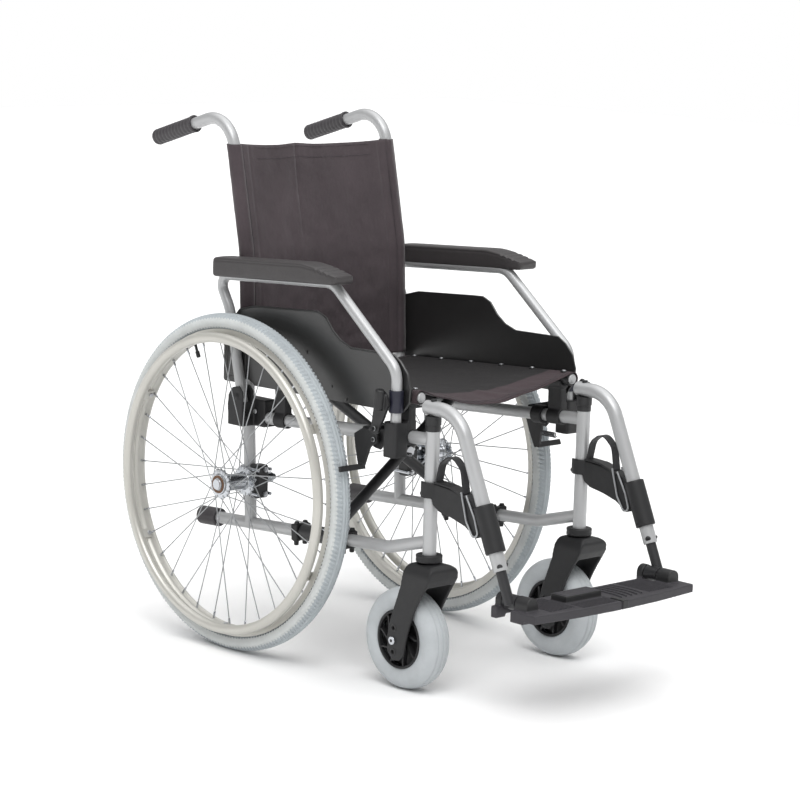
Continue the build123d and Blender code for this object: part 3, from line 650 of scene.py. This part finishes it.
# ---- put it together ----------------------------------------------------------------------
for side_name, mirror in SIDES:
    rear_wheel(side_name, mirror)
    caster(side_name, mirror)

# ---- upholstery ---------------------------------------------------------------------------
POST_PATH = side_path(0, [(20, 221), (46, 712), (99.4, 963)], [150])
POST_Z = [point.z for point in POST_PATH]
POST_Y = [point.y for point in POST_PATH]


def post_y(z):
    return float(np.interp(z, POST_Z, POST_Y))


def smooth(value, start, end):
    t = min(1.0, max(0.0, (value - start) / (end - start)))
    return t * t * (3 - 2 * t)


def ripple(x, y, scale, seed):
    return noise.fractal(Vector((x * scale, y * scale, seed)), 1.0, 2.0, 4)


def thicken(piece, thick):
    modifier = piece.modifiers.new("cloth", "SOLIDIFY")
    modifier.thickness = thick / 1000
    modifier.offset = 0.0


def seat_height(x, y):
    """Top of the seat cloth: tight over the tubes, hanging deepest at its front edge."""
    across = abs(x) / FRAME_X
    depth = 11.0 + 9.0 * smooth(-y, 150, 330) + 15.0 * smooth(-y, 330, 412)
    lean = 1.0 + 0.20 * smooth(-y, 300, 412) * (-x / FRAME_X)
    sag = depth * lean * (1 - across ** 1.7) if across < 1 else 0.0
    front = smooth(-y, 200, 400)
    creases = 1.6 * ripple(x + 0.55 * y, 0.35 * x, 0.022, 3.0) * front
    creases += 1.1 * ripple(x, y, 0.012, 8.0)
    creases += 2.2 * front * math.exp(-((x - 40 + 0.9 * (y + 400)) / 14.0) ** 2)
    return height(y, SEAT_TUBE_Z) + 12.4 - sag + creases * (1 - across ** 4 if across < 1 else 0.0)


def make_seat():
    rows = []
    for i in range(97):
        y = -416.0 + 424.0 * i / 96
        row = []
        middle = height(y, SEAT_TUBE_Z)
        for step in range(9):
            angle = math.radians(-150 + 150 * step / 9)
            row.append((-FRAME_X + 12.4 * math.sin(angle), y, middle + 12.4 * math.cos(angle)))
        for step in range(101):
            x = -FRAME_X + 2 * FRAME_X * step / 100
            front = smooth(-y, 404, 416)
            row.append((x, y, seat_height(x, y) - 3.0 * front * (1 - abs(x) / FRAME_X)))
        for step in range(9):
            angle = math.radians(150 * (step + 1) / 9)
            row.append((FRAME_X + 12.4 * math.sin(angle), y, middle + 12.4 * math.cos(angle)))
        rows.append(row)
    seat = Shape().grid(rows).build("seat_cloth", SEAT_CLOTH_PAINTED_SHADE, None, "sling_nylon", sharp=0)
    seat.data.materials.append(SEAT_FRONT_PAINTED_LIGHT)
    # Faces ahead of y = -358 take the plum copy, which is painted light on the front fold. The rest keep the
    # near-black copy, which is painted shade.
    for face in seat.data.polygons:
        if (face.center.y - AXLE_Y) * 1000 < -358:
            face.material_index = 1
    thicken(seat, 1.4)
    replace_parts(seat, "seat_upholstery")
    hems = []
    for name, y in (("front", -410.0), ("rear", 2.0)):
        seam = Shape()
        for offset in (0.0, 7.0):
            at = y + offset
            seam.tube([(x, at, seat_height(x, at) + 1.0) for x in np.linspace(-182, 182, 92)], 0.5, 6)
        hems.append(seam.build(f"seat_seam_{name}", THREAD, None, "sling_nylon"))
    for piece in [seat, *hems]:
        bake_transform(piece)
    for body, sign in (("cross_a", 1), ("cross_b", -1)):
        screws, washers = Shape(), Shape()
        for y in (-396, -318, -240, -162, -84, -12):
            top = (FRAME_X - 3.0, y, height(y, SEAT_TUBE_Z) + 12.2)
            washers.knob(top, (top[0], y, top[2] + 1.4), 6.4, 24, 0.5)
            screws.socket_screw((top[0], y, top[2] + 1.2), (0, 0, 1), 4.0, 2.2)
        washers.build(f"{body}_seat_washers", BLACK, body, "black_plastic", sign)
        screws.build(f"{body}_seat_screws", STEEL, body, "bright_steel", sign)


def back_point(x, z):
    """Front face of the back cloth, hollow towards the rear in the middle."""
    across = min(1.0, abs(x) / 181.0)
    hollow = 15.0 * (1 - across ** 2)
    loose = 1.0 + 1.2 * (1 - smooth(z, 520, 680))
    waves = loose * (2.2 * ripple(x, 0.3 * z, 0.016, 1.0) + 1.2 * ripple(x, z, 0.035, 5.0))
    crease = 2.6 * math.exp(-((x + 38.0 + 0.03 * (905 - z)) / 3.5) ** 2) * smooth(z, 640, 860)
    crease += 2.4 * math.exp(-((abs(x) - 160.0) / 3.2) ** 2)
    fade = 1 - across ** 6
    lift = 6.0 * smooth(z, 800, 902) * (across ** 3 + 0.5 * math.exp(-((x + 38) / 30.0) ** 2))
    return (x, post_y(z) - 9.0 + hollow + (waves + crease) * fade, z - 3.0 + lift)


def make_back():
    low, high = 507.0, 902.0
    rows = []
    for i in range(81):
        z = low + (high - low) * i / 80
        rows.append([back_point(-181 + 362 * j / 180, z) for j in range(181)])
    panel = Shape().grid(rows).build("back_panel", BACK_CLOTH, "right_frame", "sling_nylon", sharp=0)
    thicken(panel, 1.6)
    hems = []
    for index, z in enumerate((low + 6, high - 24, high - 5)):
        line = [back_point(x, z) for x in np.linspace(-139, 139, 140)]
        seam = Shape().tube([(x, y - 1.1, z_) for x, y, z_ in line], 0.55, 6)
        hems.append(seam.build(f"back_hem_{index}", THREAD, "right_frame", "sling_nylon"))
    for piece in [panel, *hems]:
        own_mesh(piece)
    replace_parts(panel, "back_upholstery")
    for side, k in SIDES:
        back_sleeve(side, k, low, high)


def back_sleeve(side, k, low, high):
    """Hem of the back cloth around one post, with its line of stitches."""
    body = f"{side}_frame"
    bottom, top = low - 2, high + 4
    rows = []
    for i in range(81):
        z = bottom + (top - low) * i / 80
        row = []
        for step in range(29):
            turn = math.radians(-62 + 304 * step / 28) - math.pi / 2 + 1.15
            swell = 12.9 + 0.35 * ripple(step * 9.0, z, 0.05, 2.0)
            row.append((FRAME_X - swell * math.cos(turn), post_y(z) + swell * math.sin(turn), z))
        rows.append(row)
    sleeve = Shape().grid(rows, close_columns=True)
    sleeve = sleeve.build(f"{side}_back_sleeve", BACK_CLOTH, body, "sling_nylon", k, 0)
    thicken(sleeve, 1.2)
    stitches = [(FRAME_X - 11.0, post_y(z) - 9.6, z) for z in np.linspace(low, high, 60)]
    thread = Shape().tube(stitches, 0.6, 6)
    thread = thread.build(f"{side}_back_seam", THREAD, body, "sling_nylon", k)


# ---- armrests and side panels -------------------------------------------------------------
PAD_X = 228.5
PAD_FRONT, PAD_REAR = -259.0, 66.0
PAD_HALF_WIDTH, PAD_HALF_HEIGHT = 24.4, 17.6
PAD_MIDDLE_Z = 691.5


def rounding(distance, radius):
    """0 at an end, 1 once a radius away from it, along a quarter circle."""
    return math.sqrt(max(0.0, 1 - (1 - min(1.0, distance / radius)) ** 2))


def pad_section():
    """Cross-section of a pad, in half widths and half heights, creased along its top edges."""
    right = [
        (0.0, -1.0), (0.45, -1.0), (0.80, -0.99), (0.92, -0.94), (0.98, -0.84), (1.0, -0.70),
        (1.0, -0.2), (1.0, 0.46), (0.996, 0.58), (0.955, 0.65), (0.985, 0.73), (0.965, 0.84),
        (0.92, 0.92), (0.84, 0.975), (0.6, 1.0), (0.3, 1.02),
    ]
    left = [(-across, up) for across, up in reversed(right[1:])]
    return right + [(0.0, 1.03)] + left


PAD_SECTION = pad_section()
PANEL_OUTLINE = [
    (84, 541), (84, 476), (-386, 480), (-403, 500), (-405, 525), (-397, 548), (-379, 567),
    (-362, 577), (-255, 576), (-228, 585), (-207, 600), (-188, 621), (-168, 629), (-142, 628),
    (3, 620), (42, 610), (62, 589), (78, 559),
]


def armrest(side, k):
    body = f"{side}_armrest"
    rows = []
    for i in range(161):
        y = PAD_FRONT + (PAD_REAR - PAD_FRONT) * i / 160
        ahead, behind = y - PAD_FRONT, PAD_REAR - y
        tip = rounding(ahead, 9.0)
        size = min(tip, rounding(behind, 8.0))
        ramp = max(0.0, 1 - ahead / 95.0) ** 1.5
        groove = sum(math.exp(-((ahead - at) / 2.0) ** 2) for at in (20.0, 34.0, 48.0))
        top = (PAD_HALF_HEIGHT - 21.0 * ramp - 2.6 * groove) * (1 - 0.35 * (1 - size))
        bottom = -PAD_HALF_HEIGHT * (1 - 0.35 * (1 - size))
        narrowing = 1 - 0.10 * max(0.0, 1 - ahead / 40.0) ** 2
        half_width = PAD_HALF_WIDTH * (0.86 + 0.14 * size) * narrowing
        middle = height(y, PAD_MIDDLE_Z) + (top + bottom) / 2
        half_height = (top - bottom) / 2
        rows.append([(PAD_X + a * half_width, y, middle + u * half_height) for a, u in PAD_SECTION])
    pad = Shape().grid(rows, close_columns=True, caps=True)
    pad = pad.build(f"{side}_pad_cover", PAD, body, "pad_foam", k, 0)
    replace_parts(pad, f"{side}_armrest_pad")
    sleeve = Shape()
    sleeve.knob((ARM_X, -381, 481.5), (ARM_X, -381, 519.5), 12.6, 32, 0.8)
    sleeve.build(f"{side}_arm_sleeve", NAVY, body, "black_plastic", k)
    edge = PANEL_OUTLINE[2:] + PANEL_OUTLINE[:1]
    trim = Shape().tube([(204.6, y, z) for y, z in edge], 2.0, 10)
    face_x = 205.2
    for y, z in ((-140, 555), (-207, 503), (-246, 485)):
        trim.knob((face_x - 0.6, y, z), (face_x + 1.0, y, z), 3.0, 16, 0.5)
    for y0, y1 in ((24, 47), (52, 74)):
        ribs = [(y0, 486), (y1, 486), (y1, 545), (y0, 545), (y0, 486), (y1, 486)]
        trim.tube([(face_x, y, z) for y, z in ribs], 1.0, 8, caps=False)
    trim.build(f"{side}_panel_trim", PANEL, body, "black_plastic", k)


# ---- front hangers and footplates ---------------------------------------------------------
def leg_point(z, x=FRAME_X):
    return Vector((x, -505.0 - (495.0 - z) * 107.5 / 245.0, z))


def legrest(side, k):
    body = f"{side}_legrest"
    soft_copy(f"{side}_legrest_bracket", FORK, 1.4, 5)
    hoop = [(-463, 369), (-471, 405), (-497, 424), (-522, 402), (-529, 362)]
    arch = side_path(FRAME_X, hoop, [22, 20, 22], 2.0)
    strap = Shape().band(arch, (8.5, 0, 0), 2.4)
    strap = strap.build(f"{side}_release_strap", WEBBING, body, "webbing", k, 50)
    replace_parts(strap, f"{side}_legrest_strap")
    catch = Shape()
    for face in (-12.6, 12.6):
        loop = [(-529, 366), (-543, 318), (-560, 292), (-571, 300), (-562, 326), (-541, 362)]
        catch.tube(side_path(FRAME_X + face, loop, [12, 7, 6, 12], 2.0), 1.7, 10)
    catch.build(f"{side}_catch_loop", SPOKE, body, "bright_steel", k)
    lip = side_path(FRAME_X, [(-461, 371.5), (-500, 369), (-537, 357)], [30])
    tongue = Shape().band(lip, (12, 0, 0), 3.4)
    tongue.build(f"{side}_catch_tongue", BLACK, body, "black_plastic", k, 40, 0.8)
    dark = Shape()
    for facing in ((0.55, -0.77, -0.32), (-0.75, -0.60, -0.28)):
        out = Vector(facing).normalized()
        dark.socket_screw(leg_point(258.0) + out * 11.4, out, 5.0, 4.4)
    nub = Vector((FRAME_X, -445, 346))
    dark.knob(nub + Vector((0, 15, 0)), nub + Vector((0, 24, 0)), 4.0, 16, 1.0)
    dark.build(f"{side}_hanger_bolts", BLACK_METAL, body, "black_metal", k)
    holes = Shape()
    for z in (232.0, 216.0):
        centre = leg_point(z)
        out = Vector((-0.45, -0.82, -0.36)).normalized()
        holes.knob(centre + out * 8.4, centre + out * 9.25, 2.6, 16, 0.2)
    holes.build(f"{side}_extension_holes", BLACK, f"{side}_extension", "black_plastic", k)


def foot_plate(side, k):
    body = f"{side}_footplate_flap"
    plate = soft_copy(f"{side}_footplate", PLATE, 1.3, 5)
    plate.data.materials.append(BLACK)
    for face in plate.data.polygons:
        if face.center.z * 1000 > 189:
            face.material_index = 1
    ridges = Shape()
    if side == "left":
        for index in range(5):
            arc = []
            for angle in np.radians(range(20, 161, 10)):
                arc.append((16 + index * 13.0 + 10 * math.sin(angle), -662 + 40 * math.cos(angle), 187.3))
            ridges.tube(arc, 1.8, 8)
        start = 92.0
    else:
        start = 98.0
    rib = 0
    while start + rib * 6.0 < 158:
        x = start + rib * 6.0
        ridges.tube([(x, -700, 187.1), (x, -624, 187.1)], 1.1, 8)
        rib += 1
    if side == "right":
        for index in range(14):
            x = 8 + index * 6.0
            ridges.tube([(x, -714, 187.1), (x, -682, 187.1)], 1.1, 8)
        heel = Shape().box((6, -675, 186), (90, -641, 200.0))
        heel.build("heel_block", PLATE, body, "footplate_grey", k, 30, 4.0)
    else:
        bumper = Shape().box((1.5, -721, 173.5), (15, -690, 188.2))
        bumper.build("centre_bumper", BLACK, body, "footplate_grey", k, 30, 1.5)
    ridges.build(f"{side}_plate_ridges", PLATE, body, "footplate_grey", k)


# ---- frame furniture ----------------------------------------------------------------------
def furniture(side, k):
    frame_body = f"{side}_frame"
    soft_copy(f"{side}_frame_clamps", FORK, 1.5, 4)
    soft_copy(f"{side}_brake_mount", FORK, 1.2, 4)
    soft_copy(f"{side}_brake_shoe", FORK, 1.0, 3)
    soft_copy(f"{side}_brake_lever", BLACK, 1.0, 4)
    soft_copy(f"{side}_axle_adapter", BLACK, 1.2, 4)
    soft_copy(f"{side}_tip_lever", GRIP, 1.3, 8)
    soft_copy(f"{side}_push_grip", GRIP, 1.2, 14)
    pivots, bolts = Shape(), Shape()
    for spot in ((237.2, -352, 452), (217.2, -330, 428)):
        pivots.socket_screw(spot, (1, 0, 0), 4.4, 2.4)
    pivots.build(f"{side}_brake_pivots", SPOKE, frame_body, "bright_steel", k)
    for spot in ((201, -2, 430), (201, 24, 415)):
        bolts.socket_screw(spot, (1, 0, 0), 4.5, 2.5)
    for z in (323, 278):
        bolts.hex_nut((184, -12.2, z), (0, -1, 0), 5.0, 4.0)
    bolts.socket_screw((FRAME_X + 11.0, 99, height(99, LOWER_TUBE_Z)), (1, 0, 0), 4.0, 1.8)
    bolts.build(f"{side}_frame_bolts", STEEL, frame_body, "bright_steel", k, 40)
    cap = Shape()
    cap.knob((FRAME_X, -445, 466.2), (FRAME_X, -445, 469.6), 13.4, 32, 1.2)
    cap.knob((FRAME_X, -445, 456), (FRAME_X, -445, 467), 12.8, 32, 0.8)
    cap.build(f"{side}_stem_cap", BLACK, frame_body, "black_plastic", k)
    tube_body = "cross_a" if side == "left" else "cross_b"
    dome, collar = Shape(), Shape()
    tip = height(-412, SEAT_TUBE_Z)
    dome.knob((FRAME_X, -410, tip), (FRAME_X, -417, tip + 0.4), 9.4, 32, 4.0)
    collar.knob((FRAME_X, -404, tip - 0.4), (FRAME_X, -412.5, tip), 12.4, 32, 0.8)
    dome.build(f"{side}_tube_dome", SILVER, tube_body, "bright_steel", k)
    collar.build(f"{side}_tube_collar", BLACK, tube_body, "black_plastic", k)
    spring = Shape()
    coil = []
    for i in range(120):
        angle = 2 * math.pi * i / 12
        coil.append((FRAME_X - 8 + 4.2 * math.cos(angle), -352 - 0.28 * i, 404 + 4.2 * math.sin(angle)))
    spring.tube(coil, 0.9, 6)
    spring.build(f"{side}_brake_spring", BLACK_METAL, frame_body, "black_metal", k)


make_seat()
make_back()
for side_name, mirror in SIDES:
    armrest(side_name, mirror)
    legrest(side_name, mirror)
    foot_plate(side_name, mirror)
    furniture(side_name, mirror)

STAYING = {
    "side_frame": SILVER, "back_post": SILVER, "armrest_tube": SILVER, "legrest_tube": SILVER,
    "push_grip": GRIP, "frame_clamps": BLACK_METAL, "tip_lever": GRIP, "axle_adapter": BLACK_METAL,
    "wheel_axle": CHROME, "brake_mount": BLACK_METAL, "armrest_pad": PAD, "side_panel": PANEL,
    "legrest_bush": BLACK, "legrest_bracket": BLACK, "legrest_strap": WEBBING, "leg_extension": BLACK_METAL,
    "footplate": PLATE, "brake_lever": BLACK, "brake_shoe": BLACK_METAL,
}
for side_name, mirror in SIDES:
    for node_name, node_material in STAYING.items():
        dress(f"{side_name}_{node_name}", node_material)
MIDDLE = {
    "cross_frame_a": BLACK_METAL, "cross_frame_b": BLACK_METAL, "cross_bolt": STEEL,
    "seat_upholstery": SEAT_CLOTH_PAINTED_SHADE, "back_upholstery": BACK_CLOTH,
}
for node_name, node_material in MIDDLE.items():
    dress(node_name, node_material)


# ---- stage, light and camera --------------------------------------------------------------
def make_stage():
    size = 14.0
    mesh = bpy.data.meshes.new("floor")
    corners = [(-size, -size, 0), (size, -size, 0), (size, size, 0), (-size, size, 0)]
    mesh.from_pydata(corners, [], [(0, 1, 2, 3)])
    floor = bpy.data.objects.new("floor", mesh)
    bpy.context.scene.collection.objects.link(floor)
    made = Nodes("pale_floor")
    made.colours(made.noise(3.0), [(0.4, (0.93, 0.93, 0.93)), (0.6, (0.95, 0.95, 0.95))])
    made.shader.inputs["Roughness"].default_value = 0.7
    mesh.materials.append(made.material)


def make_world():
    """White at eye level and below, a greyer ceiling, so that metal has something to reflect."""
    world = bpy.data.worlds.new("studio")
    world.use_nodes = True
    tree = world.node_tree
    background = tree.nodes["Background"]
    coordinates = tree.nodes.new("ShaderNodeTexCoord")
    split = tree.nodes.new("ShaderNodeSeparateXYZ")
    ramp = tree.nodes.new("ShaderNodeValToRGB")
    stops = [(0.0, 0.9), (0.06, 0.8), (0.22, 0.40), (0.55, 0.30), (0.8, 1.25)]
    while len(ramp.color_ramp.elements) < len(stops):
        ramp.color_ramp.elements.new(0.5)
    for element, (place, level) in zip(ramp.color_ramp.elements, stops):
        element.position = place
        element.color = (level, level, level, 1.0)
    ramp.color_ramp.elements[0].color = (1.0, 1.0, 1.0, 1.0)
    ramp.color_ramp.elements[1].color = (1.0, 1.0, 1.0, 1.0)
    tree.links.new(coordinates.outputs["Generated"], split.inputs["Vector"])
    tree.links.new(split.outputs["Z"], ramp.inputs["Fac"])
    tree.links.new(ramp.outputs["Color"], background.inputs["Color"])
    background.inputs["Strength"].default_value = 1.0
    bpy.context.scene.world = world


def sun(name, direction, angle, strength):
    data = bpy.data.lights.new(name, "SUN")
    data.angle = math.radians(angle)
    data.energy = strength
    lamp = bpy.data.objects.new(name, data)
    lamp.rotation_euler = Vector(direction).to_track_quat("-Z", "Y").to_euler()
    bpy.context.scene.collection.objects.link(lamp)


def make_light():
    make_world()
    sun("key", (0.55, 0.50, -1.0), 40, 1.35)
    sun("top", (-0.15, 0.1, -1.0), 70, 0.85)


CAMERA_PLACE = Vector((-3.42586, -3.72241 + AXLE_Y, 1.24720))
CAMERA_YAW, CAMERA_PITCH, CAMERA_ROLL = -43.9397, 9.1192, 1.6553
FOCAL_LENGTH = 124.53


def make_camera():
    yaw, pitch, roll = (math.radians(a) for a in (CAMERA_YAW, CAMERA_PITCH, CAMERA_ROLL))
    back = Vector((math.sin(yaw) * math.cos(pitch), -math.cos(yaw) * math.cos(pitch), math.sin(pitch)))
    level = Vector((math.cos(yaw), math.sin(yaw), 0))
    upright = back.cross(level)
    right = level * math.cos(roll) + upright * math.sin(roll)
    up = upright * math.cos(roll) - level * math.sin(roll)
    data = bpy.data.cameras.new("camera")
    data.lens = FOCAL_LENGTH
    data.sensor_width = 36.0
    data.clip_start, data.clip_end = 0.1, 60.0
    camera = bpy.data.objects.new("camera", data)
    rotation = Matrix((right, up, back)).transposed().to_4x4()
    camera.matrix_world = Matrix.Translation(CAMERA_PLACE) @ rotation
    bpy.context.scene.collection.objects.link(camera)
    bpy.context.scene.camera = camera


make_stage()
make_light()
make_camera()
bpy.context.scene.view_settings.view_transform = "Standard"
